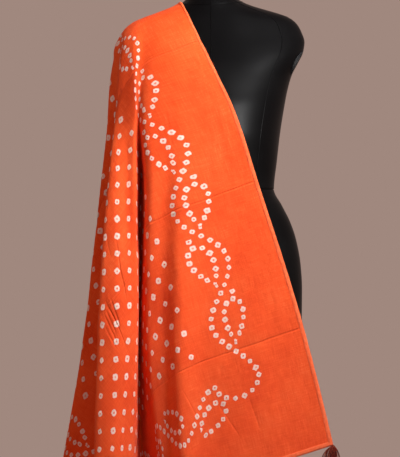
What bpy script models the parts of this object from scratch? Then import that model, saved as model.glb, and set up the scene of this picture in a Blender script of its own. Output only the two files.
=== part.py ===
"""A tie-dyed dupatta stole, draped over one shoulder of a limbless dress form on a stand.

Metres, +Z up. The origin is at the middle of the stand's base, on the floor, and the form faces -Y.
The cloth is one oblong length, drawn here by its hanging lines: each line leaves the shoulder at a
place across the cloth, runs at its own angle to the warp, and falls through the levels of the folds.
"""

from collections import namedtuple
from math import cos, pi, radians, sin, tau

import bmesh
import bpy
import numpy as np
from mathutils import Matrix, Vector

# the cloth as it was cut
CLOTH_WIDTH = 1.04
CLOTH_LENGTH = 2.00
FRONT_LENGTH = 0.995  # from the front hem to the shoulder line, along the warp
WALL = 0.0016
SEAM_GAP = 0.0003
STRETCH_GAP = 0.0005  # between stretches, measured at the middle of the wall
SHOULDER_STRETCH = 0.12  # how far the shoulder stretch reaches down each hanging line

# where the cloth lies on the shoulder
NECK_X = -0.060
TIP_X = -0.174
TIP_ACROSS = 0.125  # from the inner selvedge to the shoulder tip, across the cloth
CLEAR = 0.0029  # from the form to the middle of the cloth's wall
PLATE_CLEAR = 0.0060  # more than that over the arm plate

# heights of the levels that the folds are given at
CHEST_Z = 1.320
WAIST_Z = 1.150
HIP_Z = 0.900
FOOT_Z = 0.450

# the dress form
WAIST_JOINT = 1.154
FORM_TOP = 1.600
FORM_BOTTOM = 0.800
FORM_SIDES = 40
SHOULDER_LEAN = 0.045  # the shoulders slope down towards -X by this much
LEAN_FROM, LEAN_TO = 1.250, 1.450

PLATE_X, PLATE_Z = 0.1675, 1.404  # the middle of an arm plate's seat
PLATE_OUT = (0.889, -0.459)  # the way that the right plate faces, along X and Z
PLATE_THICK = 0.0070
PLATE_DEPTH, PLATE_HEIGHT = 0.031, 0.032  # half its size from front to back, and up the seat
SEAT_REACH = 0.08  # how far out of the seat the torso is cut away
CAP_RINGS = ((1.0, SEAM_GAP), (1.0, 0.006), (0.86, 0.011), (0.3, 0.014))  # share of the neck; rise

# the stand
BASE_RADIUS = 0.170
BASE_HEIGHT = 0.024
SOCKET_HEIGHT = 0.020  # of the socket on the base that the pole stands in
SOCKET_RADIUS = 0.024
POLE_RADIUS = 0.0125
COLLAR_RADIUS = 0.060
COLLAR_NECK = 0.020
COLLAR_HEIGHT = 0.050

# a tassel
TASSEL_LENGTH = 0.066
TASSEL_HEAD = 0.0075  # radius of its bound head
TASSEL_HEAD_HEIGHT = 0.017
TASSEL_SPREAD = 0.0150  # radius at the strands' ends
TASSEL_SIDES = 10
TASSEL_UNEVEN = 0.003  # how much longer or shorter a strand may be
TASSEL_PROFILE = (  # radius as a share of the head's, and height below the corner
    (0.16, 0.0000),
    (0.56, 0.0016),
    (1.00, 0.0060),
    (1.00, 0.0100),
    (0.78, 0.0120),
    (0.80, 0.0145),
    (1.08, TASSEL_HEAD_HEIGHT),
)
TASSEL_DROPS = {  # from the middle of the wall at each corner down to the head
    "front_inner": 0.0011,
    "front_outer": 0.0008,
    "back_inner": 0.0010,
    "back_outer": 0.0008,
}

Ring = namedtuple("Ring", "z half_width front back")
FORM_RINGS = [
    Ring(1.600, 0.045, 0.050, 0.050),
    Ring(1.560, 0.046, 0.052, 0.054),
    Ring(1.540, 0.052, 0.056, 0.060),
    Ring(1.528, 0.070, 0.060, 0.068),
    Ring(1.514, 0.107, 0.063, 0.074),
    Ring(1.506, 0.132, 0.066, 0.079),
    Ring(1.496, 0.157, 0.069, 0.083),
    Ring(1.482, 0.174, 0.073, 0.087),
    Ring(1.464, 0.184, 0.078, 0.091),
    Ring(1.444, 0.190, 0.085, 0.095),
    Ring(1.424, 0.187, 0.092, 0.097),
    Ring(1.404, 0.177, 0.099, 0.099),
    Ring(1.380, 0.164, 0.106, 0.100),
    Ring(1.350, 0.155, 0.113, 0.100),
    Ring(1.320, 0.149, 0.119, 0.098),
    Ring(1.272, 0.141, 0.122, 0.092),
    Ring(1.212, 0.134, 0.106, 0.082),
    Ring(1.154, 0.128, 0.088, 0.072),
    Ring(1.122, 0.144, 0.092, 0.080),
    Ring(1.088, 0.161, 0.097, 0.092),
    Ring(1.052, 0.173, 0.102, 0.104),
    Ring(1.002, 0.182, 0.106, 0.114),
    Ring(0.952, 0.185, 0.106, 0.116),
    Ring(0.880, 0.184, 0.103, 0.112),
    Ring(0.815, 0.178, 0.098, 0.104),
    Ring(0.800, 0.166, 0.090, 0.096),
]

# A row for each fold of the drape. angle is the hanging line's angle to the warp, in degrees; start is
# how far across the cloth it leaves the shoulder; then its (x, y) at each level, seen from above.
Fold = namedtuple("Fold", "name angle start chest waist hip foot")
FRONT_FOLDS = [
    Fold("inner selvedge", 0, 0.000, (0.042, -0.122), (0.098, -0.128), (0.177, -0.135), (0.288, -0.150)),
    Fold("flat breast", 8, 0.000, (0.007, -0.126), (0.039, -0.135), (0.081, -0.142), (0.126, -0.158)),
    Fold("flat edge", 15, 0.000, (-0.023, -0.128), (-0.012, -0.139), (-0.006, -0.148), (-0.004, -0.154)),
    Fold("first ridge", 18.6, 0.018, (-0.070, -0.129), (-0.066, -0.146), (-0.066, -0.166), (-0.046, -0.184)),
    Fold("shade trough", 21.0, 0.029, (-0.098, -0.125), (-0.090, -0.133), (-0.092, -0.138), (-0.066, -0.136)),
    Fold("narrow ridge", 23.2, 0.047, (-0.122, -0.121), (-0.117, -0.140), (-0.121, -0.134), (-0.076, -0.130)),
    Fold("valley lip", 26.2, 0.062, (-0.138, -0.115), (-0.131, -0.128), (-0.133, -0.117), (-0.082, -0.112)),
    Fold("deep valley", 31, 0.080, (-0.144, -0.101), (-0.1405, -0.048), (-0.144, -0.080), (-0.138, -0.018)),
    Fold("inner bead", 37.4, 0.100, (-0.151, -0.109), (-0.151, -0.131), (-0.1455, -0.148), (-0.160, -0.168)),
    Fold("bead hollow", 39.4, 0.113, (-0.162, -0.096), (-0.168, -0.117), (-0.163, -0.160), (-0.177, -0.190)),
    Fold("great ridge", 41.8, 0.125, (-0.180, -0.083), (-0.184, -0.134), (-0.187, -0.170), (-0.198, -0.206)),
    Fold("ridge side", 45.4, 0.125, (-0.191, -0.068), (-0.208, -0.120), (-0.222, -0.156), (-0.236, -0.182)),
    Fold("arm valley", 57, 0.125, (-0.186, -0.040), (-0.158, -0.038), (-0.180, -0.058), (-0.176, -0.048)),
    Fold("front ridge", 69, 0.125, (-0.210, -0.018), (-0.227, -0.030), (-0.252, -0.050), (-0.326, -0.074)),
    Fold("arm hollow", 78, 0.125, (-0.204, 0.002), (-0.170, 0.000), (-0.196, -0.006), (-0.150, 0.000)),
    Fold("arm middle ridge", 86, 0.125, (-0.209, 0.022), (-0.226, 0.030), (-0.250, 0.038), (-0.306, 0.054)),
    Fold("arm middle", 90, 0.125, (-0.206, 0.032), (-0.208, 0.041), (-0.228, 0.054), (-0.250, 0.070)),
]
BACK_FOLDS = [
    Fold("inner selvedge", 0, 0.000, (0.030, 0.108), (0.073, 0.117), (0.122, 0.128), (0.176, 0.138)),
    Fold("back wave", 4.5, 0.000, (0.013, 0.112), (0.054, 0.124), (0.098, 0.152), (0.136, 0.190)),
    Fold("flat back", 8.5, 0.000, (-0.004, 0.111), (0.025, 0.116), (0.052, 0.132), (0.072, 0.146)),
    Fold("blade trough", 14, 0.000, (-0.040, 0.109), (-0.030, 0.106), (-0.024, 0.120), (-0.022, 0.118)),
    Fold("blade ridge", 18.6, 0.018, (-0.062, 0.110), (-0.056, 0.129), (-0.052, 0.154), (-0.050, 0.180)),
    Fold("back trough", 22.6, 0.029, (-0.084, 0.104), (-0.080, 0.086), (-0.078, 0.112), (-0.076, 0.084)),
    Fold("back ridge", 27, 0.047, (-0.106, 0.106), (-0.108, 0.131), (-0.108, 0.160), (-0.110, 0.190)),
    Fold("back valley", 33, 0.080, (-0.132, 0.092), (-0.141, 0.050), (-0.140, 0.100), (-0.130, 0.022)),
    Fold("broad ridge", 41, 0.125, (-0.156, 0.090), (-0.162, 0.126), (-0.168, 0.160), (-0.182, 0.198)),
    Fold("broad hollow", 45, 0.125, (-0.170, 0.084), (-0.180, 0.108), (-0.190, 0.132), (-0.202, 0.142)),
    Fold("broad ridge side", 50, 0.125, (-0.184, 0.077), (-0.208, 0.108), (-0.230, 0.142), (-0.262, 0.166)),
    Fold("arm back valley", 61, 0.125, (-0.186, 0.062), (-0.158, 0.062), (-0.170, 0.082), (-0.160, 0.060)),
    Fold("arm back ridge", 72.5, 0.125, (-0.203, 0.055), (-0.228, 0.084), (-0.256, 0.110), (-0.312, 0.130)),
    Fold("arm back hollow", 82, 0.125, (-0.202, 0.042), (-0.174, 0.050), (-0.198, 0.062), (-0.192, 0.056)),
    Fold("arm middle", 90, 0.125, (-0.206, 0.032), (-0.208, 0.041), (-0.228, 0.054), (-0.250, 0.070)),
]
HALVES = {"front": (FRONT_FOLDS, FRONT_LENGTH), "back": (BACK_FOLDS, CLOTH_LENGTH - FRONT_LENGTH)}

LINES_PER_FOLD = 3
WIDEST_PLACE = 0.012  # between hanging lines on the shoulder
ROWS = 22
SHOULDER_ROWS = 5
# where the knots of a line's round shoulder lie, as shares of its fall to the chest
SHOULDER_KNOTS = (0.0, 0.04, 0.12, 0.26, 0.50, 0.78)
LINE_SAMPLES = 160
LOWEST_Z = 0.02


# ---------------------------------------------------------------- curves


def monotone(x, y, at):
    """A smooth curve through (x, y) that never overshoots; y may hold several columns."""
    x, y, at = np.asarray(x, float), np.asarray(y, float), np.asarray(at, float)
    flat = y.ndim == 1
    y = y.reshape(len(x), -1)
    step = np.diff(x)[:, None]
    slope = np.diff(y, axis=0) / step
    inner = np.zeros_like(y)
    same = slope[:-1] * slope[1:] > 0
    weight_a, weight_b = 2 * step[1:] + step[:-1], step[1:] + 2 * step[:-1]
    safe_a = np.where(same, slope[:-1], 1)
    safe_b = np.where(same, slope[1:], 1)
    inner[1:-1] = np.where(same, (weight_a + weight_b) / (weight_a / safe_a + weight_b / safe_b), 0)
    inner[0], inner[-1] = slope[0], slope[-1]
    i = np.clip(np.searchsorted(x, at, side="right") - 1, 0, len(x) - 2)
    width = step[i, 0][:, None]
    t = ((at - x[i])[:, None]) / width
    out = (
        (1 + 2 * t) * (1 - t) ** 2 * y[i]
        + t * (1 - t) ** 2 * width * inner[i]
        + t * t * (3 - 2 * t) * y[i + 1]
        + t * t * (t - 1) * width * inner[i + 1]
    )
    return out[:, 0] if flat else out


def ease(low, high, value):
    """A smooth step from 0 at low to 1 at high."""
    t = np.clip((np.asarray(value, float) - low) / (high - low), 0, 1)
    return t * t * (3 - 2 * t)


# ---------------------------------------------------------------- the dress form's surface

RING_TABLE = np.array([tuple(ring) for ring in FORM_RINGS[::-1]])


def form_section(z):
    """Half width, front depth and back depth of the form at heights on its own, unleaned axis."""
    return monotone(RING_TABLE[:, 0], RING_TABLE[:, 1:], np.atleast_1d(z)).T


def lean(x, z):
    """How far the form's surface is raised at x by the slope of its shoulders."""
    return SHOULDER_LEAN * x * ease(LEAN_FROM, LEAN_TO, z)


def form_field(points):
    """Below 1 inside the form and above 1 outside it."""
    x, y, z = points.T
    level = z - lean(x, z)
    half_width, front, back = form_section(np.clip(level, FORM_BOTTOM, FORM_TOP))
    depth = np.where(y < 0, front, back)
    field = (x / half_width) ** 2 + (y / depth) ** 2
    return np.where((level < FORM_BOTTOM) | (level > FORM_TOP), 9.0, field)


def form_distance(points):
    """Roughly how far points lie outside the form, and the way out."""
    tiny = 0.0005
    field = form_field(points)
    ways = [form_field(points + tiny * axis) - form_field(points - tiny * axis) for axis in np.eye(3)]
    gradient = np.stack(ways, axis=1) / (2 * tiny)
    size = np.maximum(np.linalg.norm(gradient, axis=1), 1e-6)
    return (field - 1) / size, gradient / size[:, None]


def clear_of_form(points):
    """Moves points that lie nearer than CLEAR to the form out of it."""
    points = points.copy()
    for _ in range(6):
        gap, out = form_distance(points)
        x, y, z = points.T
        plate = np.exp(-(((z - PLATE_Z) / 0.045) ** 2) - (y / 0.045) ** 2) * (x < -0.12)
        needed = CLEAR + PLATE_CLEAR * plate
        near = (gap < needed) & (form_field(points) < 4)
        push = np.clip(needed - gap, 0, 0.01)
        points[near] += (push[:, None] * out)[near]
    return points


def shoulder_height(x):
    """The height of the middle of the cloth's wall on the form's shoulder line."""
    heights = np.linspace(1.40, 1.56, 321)
    half_widths = form_section(heights)[0]
    level = np.interp(-np.abs(x), -half_widths[half_widths.argmax() :], heights[half_widths.argmax() :])
    return level + lean(x, level) + CLEAR


# ---------------------------------------------------------------- the drape

LEVELS = (CHEST_Z, WAIST_Z, HIP_Z, FOOT_Z)


def hanging_line(folds, angle):
    """The points of one hanging line from the shoulder down, and how far along it each is."""
    angles = [fold.angle for fold in folds]
    table = np.array([(fold.start, *fold.chest, *fold.waist, *fold.hip, *fold.foot) for fold in folds])
    start, *places = monotone(angles, table, [angle])[0]
    places = np.array(places).reshape(-1, 2)
    top_x = NECK_X + (TIP_X - NECK_X) * start / TIP_ACROSS
    top_z = float(shoulder_height(top_x))
    fall = top_z - CHEST_Z
    knots_z = [top_z - share * fall for share in SHOULDER_KNOTS] + list(LEVELS) + [LOWEST_Z]
    round_share = [np.sqrt(1 - (1 - share) ** 2) for share in SHOULDER_KNOTS]
    side = float(ease(36, 60, angle))
    knots = []
    for share, bulge in zip(SHOULDER_KNOTS, round_share):
        outward = (1 - side) * share + side * bulge**1.3
        knots.append((top_x + (places[0, 0] - top_x) * outward, places[0, 1] * bulge))
    knots += list(places)
    knots.append(places[3] + (places[3] - places[2]) * (FOOT_Z - LOWEST_Z) / (HIP_Z - FOOT_Z))
    z = top_z - (top_z - LOWEST_Z) * np.linspace(0, 1, LINE_SAMPLES) ** 1.6
    xy = monotone(-np.array(knots_z), np.array(knots), -z)
    points = clear_of_form(np.column_stack([xy, z]))
    along = np.concatenate([[0], np.cumsum(np.linalg.norm(np.diff(points, axis=0), axis=1))])
    return points, along, start


def line_end(angle, start, length):
    """How far down its line the cloth reaches: to the hem or to the outer selvedge."""
    to_hem = length / max(cos(radians(angle)), 1e-6)
    to_selvedge = (CLOTH_WIDTH - start) / max(sin(radians(angle)), 1e-6)
    return min(to_hem, to_selvedge)


def line_start(folds, angles):
    """How far across the cloth the hanging lines at these angles leave the shoulder."""
    return monotone([fold.angle for fold in folds], [fold.start for fold in folds], angles)


def corner_angle(folds, length):
    """The angle of the hanging line that ends in the outer corner."""
    fine = np.linspace(1, 89, 4000)
    reach = line_start(folds, fine) + length * np.tan(np.radians(fine))
    return float(np.interp(CLOTH_WIDTH, reach, fine))


def shoulder_places():
    """How far across the cloth the lines between the neck and the tip start, the same front and back."""
    starts = sorted({fold.start for fold in FRONT_FOLDS + BACK_FOLDS})
    places = []
    for place, following in zip(starts, starts[1:]):
        count = max(1, round((following - place) / WIDEST_PLACE))
        places += list(np.linspace(place, following, count, endpoint=False))
    places = np.array(places[1:])
    for folds, length in HALVES.values():
        corner = float(line_start(folds, [corner_angle(folds, length)])[0])
        if corner < TIP_ACROSS:
            places[np.abs(places - corner).argmin()] = corner
    return list(places)


def line_angles(folds, length):
    """The angles of the hanging lines, with one through the outer corner."""
    neck = [fold.angle for fold in folds if fold.start == 0]
    tip = [fold.angle for fold in folds if fold.start == TIP_ACROSS]
    fine = np.linspace(neck[-1], tip[0], 400)
    angles = fan(neck) + [neck[-1]]
    angles += list(np.interp(shoulder_places(), line_start(folds, fine), fine))
    round_tip = fan(tip) + [tip[-1]]
    corner = corner_angle(folds, length)
    if corner > tip[0]:
        round_tip[int(np.argmin(np.abs(np.array(round_tip[1:-1]) - corner))) + 1] = corner
    return angles + round_tip


def fan(angles):
    """Each angle and those between it and the next, without the last."""
    pairs = zip(angles, angles[1:])
    return [angle for pair in pairs for angle in np.linspace(*pair, LINES_PER_FOLD, endpoint=False)]


def drape(folds, length, near, far, rows):
    """Points of the cloth between two distances down its lines: an array of lines by rows by 3."""
    sheet = []
    for angle in line_angles(folds, length):
        points, along, start = hanging_line(folds, angle)
        end = line_end(angle, start, length) if far is None else far
        at = np.linspace(near, end, rows + 1)
        sheet.append(np.stack([np.interp(at, along, points[:, k]) for k in range(3)], axis=1))
    return np.array(sheet)


# ---------------------------------------------------------------- Blender helpers


def material(name, colour, roughness, metallic=0.0):
    made = bpy.data.materials.new(name)
    made.use_nodes = True
    shader = made.node_tree.nodes["Principled BSDF"]
    shader.inputs["Base Color"].default_value = (*colour, 1)
    shader.inputs["Roughness"].default_value = roughness
    shader.inputs["Metallic"].default_value = metallic
    return made


def add(name, bm, finish, place=(0, 0, 0), collection=None):
    """Makes a named object of a bmesh, with its origin at place."""
    mesh = bpy.data.meshes.new(name)
    bm.to_mesh(mesh)
    bm.free()
    mesh.shade_smooth()
    mesh.set_sharp_from_angle(angle=radians(40))
    mesh.materials.append(finish)
    made = bpy.data.objects.new(name, mesh)
    made.location = place
    (collection or part).objects.link(made)
    return made


def loft(rings):
    """A closed skin over rings of equally many points, with flat ends."""
    bm = bmesh.new()
    loops = []
    for ring in rings:
        verts = [bm.verts.new(point) for point in ring]
        loops.append([bm.edges.new((verts[i], verts[(i + 1) % len(verts)])) for i in range(len(verts))])
    for upper, lower in zip(loops, loops[1:]):
        bmesh.ops.bridge_loops(bm, edges=upper + lower)
    bmesh.ops.holes_fill(bm, edges=bm.edges, sides=0)
    bmesh.ops.recalc_face_normals(bm, faces=bm.faces)
    return bm


def grid_of(points):
    """A grid of faces over an array of lines by rows of points."""
    lines, rows = points.shape[:2]
    bm = bmesh.new()
    made = bmesh.ops.create_grid(bm, x_segments=lines - 1, y_segments=rows - 1, size=1)
    for vert in made["verts"]:
        line = round((vert.co.x + 1) / 2 * (lines - 1))
        row = round((vert.co.y + 1) / 2 * (rows - 1))
        vert.co = points[line, row]
    return bm


def wall(cloth):
    """Gives a stretch of cloth its thickness, half to each side."""
    solid = cloth.modifiers.new("wall", "SOLIDIFY")
    solid.thickness = WALL
    solid.offset = 0.0
    solid.use_even_offset = False
    solid.use_rim = True


# ---------------------------------------------------------------- the pieces


def make_form():
    """The padded torso and hips, parted at the waist joint, with arm plates and a neck cap."""
    turns = np.linspace(0, tau, FORM_SIDES, endpoint=False) + pi / FORM_SIDES

    def ring(z):
        half_width, front, back = (float(v[0]) for v in form_section(z))
        points = []
        for turn in turns:
            x, y = half_width * cos(turn), sin(turn)
            y *= front if y < 0 else back
            points.append((x, y, z + float(lean(x, z))))
        return points

    heights = [r.z for r in FORM_RINGS]
    upper = [z for z in heights if z > WAIST_JOINT] + [WAIST_JOINT + SEAM_GAP / 2]
    lower = [WAIST_JOINT - SEAM_GAP / 2] + [z for z in heights if z < WAIST_JOINT]
    torso = add("form_torso", loft([ring(z) for z in upper]), black_cloth)
    add("form_hips", loft([ring(z) for z in lower]), black_cloth)

    neck = ring(FORM_TOP)
    caps = [[(share * x, share * y, z + rise) for x, y, z in neck] for share, rise in CAP_RINGS]
    add("form_neck_cap", loft(caps), black_plate)

    for side, name in ((-1, "left"), (1, "right")):
        middle = Vector((side * PLATE_X, 0.0, PLATE_Z + side * PLATE_X * SHOULDER_LEAN))
        out = Vector((side * PLATE_OUT[0], 0.0, PLATE_OUT[1]))
        cutter = add(f"seat_{name}", plate_shape(out, 0.0, SEAT_REACH, SEAM_GAP), black_plate, middle, tools)
        cutter.hide_render = True
        seat = torso.modifiers.new(f"seat {name}", "BOOLEAN")
        seat.operation = "DIFFERENCE"
        seat.object = cutter
        add(f"arm_plate_{name}", plate_shape(out, SEAM_GAP, PLATE_THICK, 0.0), black_plate, middle)


def plate_shape(out, near, far, grow):
    """An oval plate that faces the way of out, between two distances from the middle of its seat."""
    bm = bmesh.new()
    bmesh.ops.create_cone(bm, cap_ends=True, segments=28, radius1=1, radius2=1, depth=far - near)
    back = Vector((0, 1, 0))
    turn = Matrix((back, back.cross(out).normalized(), out)).transposed().to_4x4()
    size = Matrix.Diagonal((PLATE_DEPTH + grow, PLATE_HEIGHT + grow, 1, 1))
    rise = Matrix.Translation((0, 0, (near + far) / 2))
    bmesh.ops.transform(bm, matrix=turn @ size @ rise, verts=bm.verts)
    bmesh.ops.recalc_face_normals(bm, faces=bm.faces)
    return bm


def turned(name, profile, place, segments):
    """A steel piece turned about its own upright axis from (radius, height) points, top to bottom."""
    bm = bmesh.new()
    verts = [bm.verts.new((radius, 0, z)) for radius, z in profile]
    for pair in zip(verts, verts[1:]):
        bm.edges.new(pair)
    made = add(name, bm, steel, place)
    screw = made.modifiers.new("turned", "SCREW")
    screw.axis = "Z"
    screw.steps = screw.render_steps = segments
    screw.use_merge_vertices = True
    screw.merge_threshold = 0.0001
    screw.use_normal_calculate = True


def make_stand():
    """The collar under the form, its pole, and the round base that stands on the floor."""
    collar_top = FORM_BOTTOM - SEAM_GAP
    collar_profile = [
        (0, 0),
        (COLLAR_RADIUS, 0),
        (COLLAR_RADIUS + 0.002, -0.003),
        (COLLAR_RADIUS, -0.006),
        (COLLAR_NECK + 0.012, -0.010),
        (COLLAR_NECK + 0.001, -0.022),
        (COLLAR_NECK, 0.002 - COLLAR_HEIGHT),
        (COLLAR_NECK - 0.0015, -COLLAR_HEIGHT),
        (0, -COLLAR_HEIGHT),
    ]
    turned("stand_collar", collar_profile, (0, 0, collar_top), 40)

    pole_top = collar_top - COLLAR_HEIGHT - SEAM_GAP
    pole_foot = BASE_HEIGHT + SOCKET_HEIGHT + SEAM_GAP
    pole = bmesh.new()
    bmesh.ops.create_cone(
        pole, cap_ends=True, segments=24, radius1=POLE_RADIUS, radius2=POLE_RADIUS, depth=pole_top - pole_foot
    )
    add("stand_pole", pole, steel, (0, 0, (pole_top + pole_foot) / 2))

    base_profile = [
        (0, BASE_HEIGHT + SOCKET_HEIGHT),
        (SOCKET_RADIUS - 0.003, BASE_HEIGHT + SOCKET_HEIGHT),
        (SOCKET_RADIUS, BASE_HEIGHT + SOCKET_HEIGHT - 0.004),
        (SOCKET_RADIUS + 0.002, BASE_HEIGHT + 0.003),
        (SOCKET_RADIUS + 0.010, BASE_HEIGHT),
        (0.65 * BASE_RADIUS, 0.79 * BASE_HEIGHT),
        (BASE_RADIUS - 0.012, 0.54 * BASE_HEIGHT),
        (BASE_RADIUS - 0.003, 0.009),
        (BASE_RADIUS, 0.005),
        (BASE_RADIUS, 0.001),
        (BASE_RADIUS - 0.001, 0),
        (0, 0),
    ]
    turned("stand_base", base_profile, (0, 0, 0), 48)


def make_stole():
    """The three stretches of the cloth: its front fall, the stretch over the shoulder, its back fall."""
    corners = {}
    over = bmesh.new()
    for half, (folds, length) in HALVES.items():
        fall = drape(folds, length, SHOULDER_STRETCH + STRETCH_GAP / 2, None, ROWS)
        inwards = fall[-2] - fall[-1]
        fall[-1] += inwards / np.linalg.norm(inwards, axis=1)[:, None] * STRETCH_GAP / 2
        wall(add(f"stole_{half}", grid_of(fall), orange_cloth))
        corner_line = int(np.argmin([p[-1, 2] for p in fall]))
        corners[f"{half}_inner"] = fall[0, -1]
        corners[f"{half}_outer"] = fall[corner_line, -1]
        top = grid_of(drape(folds, length, 0.0, SHOULDER_STRETCH - STRETCH_GAP / 2, SHOULDER_ROWS))
        spare = bpy.data.meshes.new("spare")
        top.to_mesh(spare)
        top.free()
        over.from_mesh(spare)
        bpy.data.meshes.remove(spare)
    bmesh.ops.remove_doubles(over, verts=over.verts, dist=1e-5)
    bmesh.ops.recalc_face_normals(over, faces=over.faces)
    wall(add("stole_shoulder", over, orange_cloth))
    return corners


def make_tassel(name, corner):
    """A bound head, with a ring and a core of strands drawn out of its underside."""
    last = len(TASSEL_PROFILE) - 1
    foot_radius = TASSEL_PROFILE[last][0] * TASSEL_HEAD
    bm = bmesh.new()
    bmesh.ops.create_cone(
        bm, cap_ends=True, segments=TASSEL_SIDES, radius1=foot_radius, radius2=0.2 * foot_radius, depth=1
    )
    bmesh.ops.translate(bm, vec=(0, 0, -0.5), verts=bm.verts)
    sides = [edge for edge in bm.edges if edge.calc_length() > 0.5]
    bmesh.ops.subdivide_edges(bm, edges=sides, cuts=last - 1, use_grid_fill=True)
    for vert in bm.verts:
        share, below = TASSEL_PROFILE[round(-vert.co.z * last)]
        way = Vector((vert.co.x, vert.co.y, 0)).normalized()
        vert.co = way * share * TASSEL_HEAD - Vector((0, 0, below))

    under = [min(bm.faces, key=lambda face: face.calc_center_median().z)]
    ring = bmesh.ops.inset_region(bm, faces=under, thickness=0.42 * foot_radius, use_even_offset=True)
    roots = ring["faces"] + under
    bmesh.ops.inset_individual(bm, faces=roots, thickness=0.00035, use_even_offset=True)
    ends = bmesh.ops.extrude_discrete_faces(bm, faces=roots)["faces"]
    for number, end in enumerate(ends):
        length = TASSEL_LENGTH - TASSEL_HEAD_HEIGHT + TASSEL_UNEVEN * sin(number * 2.4)
        middle = end.calc_center_median()
        flare = Vector((middle.x, middle.y, 0)) * (TASSEL_SPREAD / foot_radius - 1)
        for vert in end.verts:
            vert.co = middle + flare - Vector((0, 0, length)) + (vert.co - middle) * 1.15
    bmesh.ops.recalc_face_normals(bm, faces=bm.faces)
    drop = Vector((0, 0, TASSEL_DROPS[name]))
    add(f"tassel_{name}", bm, maroon_thread, Vector(corner) - drop)


for old in list(bpy.data.objects):
    bpy.data.objects.remove(old)
part = bpy.data.collections.new("dupatta stole on a dress form")
tools = bpy.data.collections.new("cutters")
bpy.context.scene.collection.children.link(part)
bpy.context.scene.collection.children.link(tools)

orange_cloth = material("orange cotton", (0.90, 0.16, 0.05), 0.75)
maroon_thread = material("maroon thread", (0.22, 0.03, 0.02), 0.8)
black_cloth = material("black jersey", (0.012, 0.012, 0.013), 0.7)
black_plate = material("black plate", (0.015, 0.015, 0.016), 0.5)
steel = material("black painted steel", (0.03, 0.03, 0.03), 0.4, 0.3)

make_form()
make_stand()
for corner_name, corner_place in make_stole().items():
    make_tassel(corner_name, corner_place)
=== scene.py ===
"""A tie-dyed cotton stole, draped over one shoulder of a limbless dress form on its stand.

Metres, +Z up, with the origin under the stand's base. The form faces -Y.
"""

from collections import namedtuple
from math import atan2, cos, pi, radians, sin, tau

import bmesh
import bpy
import numpy as np
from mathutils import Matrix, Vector, noise


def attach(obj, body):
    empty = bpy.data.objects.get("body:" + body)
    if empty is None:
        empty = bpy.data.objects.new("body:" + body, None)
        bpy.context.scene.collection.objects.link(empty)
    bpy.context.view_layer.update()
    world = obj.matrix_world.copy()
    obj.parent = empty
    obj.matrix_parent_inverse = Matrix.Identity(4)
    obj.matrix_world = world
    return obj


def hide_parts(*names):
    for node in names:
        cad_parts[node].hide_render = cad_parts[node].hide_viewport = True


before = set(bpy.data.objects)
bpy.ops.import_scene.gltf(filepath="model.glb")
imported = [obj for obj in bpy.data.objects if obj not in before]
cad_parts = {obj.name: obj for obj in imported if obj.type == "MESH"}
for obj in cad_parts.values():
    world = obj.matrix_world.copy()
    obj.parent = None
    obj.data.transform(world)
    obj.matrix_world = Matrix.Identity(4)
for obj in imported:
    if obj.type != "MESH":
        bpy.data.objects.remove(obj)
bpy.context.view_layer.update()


# ---------------------------------------------------------------- the camera
# It stands level with the middle of the drape and far back, as a long lens does in a shop's studio.
# The frame is filled from just over the shoulders down to the cloth's front hem.

VIEW_MIDDLE = Vector((-0.022, 0, 1.075))
VIEW_HEIGHT = 0.914  # of the frame, measured at the drape
CAMERA_BACK = 6.0
DRAPE_DEPTH = 0.08  # of the drape, in front of the form's middle
FILM = 36.0


def placed(name, data):
    """A new object in the scene, made of a mesh, a curve, a light or a camera."""
    thing = bpy.data.objects.new(name, data)
    bpy.context.scene.collection.objects.link(thing)
    return thing


lens = bpy.data.cameras.new("camera")
lens.sensor_width = FILM
lens.lens = FILM * (CAMERA_BACK - DRAPE_DEPTH) / VIEW_HEIGHT
camera = placed("camera", lens)
camera.location = VIEW_MIDDLE - Vector((0, CAMERA_BACK, 0))
camera.rotation_euler = (pi / 2, 0, 0)
bpy.context.scene.camera = camera


# ---------------------------------------------------------------- the dress form
# A moulded torso and hips under stretched black jersey, joined at the waist. The jersey is sewn from
# panels, so thin welted seams run down its middle, over each bust point, and round the neck.

FORM_RINGS = np.array([  # height, half width, and depth in front and behind, in millimetres
    (800, 166, 90, 96), (815, 178, 98, 104), (880, 184, 103, 112), (952, 185, 106, 116),
    (1002, 182, 106, 114), (1052, 173, 102, 104), (1088, 161, 97, 92), (1122, 144, 92, 80),
    (1154, 128, 88, 72), (1212, 134, 106, 82), (1272, 141, 122, 92), (1320, 149, 119, 98),
    (1350, 155, 113, 100), (1380, 164, 106, 100), (1404, 177, 99, 99), (1424, 187, 92, 97),
    (1444, 190, 85, 95), (1464, 184, 78, 91), (1482, 174, 73, 87), (1496, 157, 69, 83),
    (1506, 132, 66, 79), (1514, 107, 63, 74), (1528, 70, 60, 68), (1540, 52, 56, 60),
    (1560, 46, 52, 54), (1600, 45, 50, 50),
]) / 1000
FORM_FOOT, FORM_TOP = FORM_RINGS[0, 0], FORM_RINGS[-1, 0]
WAIST_JOINT = 1.154
FORM_SIDES = 96
RING_STEP = 0.006
SHOULDER_LEAN = 0.045  # the slope of the shoulders, down towards -X
LEAN_FROM, LEAN_TO = 1.250, 1.450
JOINT_HALF = 0.00015  # of the fine gap between the two halves
RIM = 0.0012  # how far each half's ends are rounded over


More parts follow.
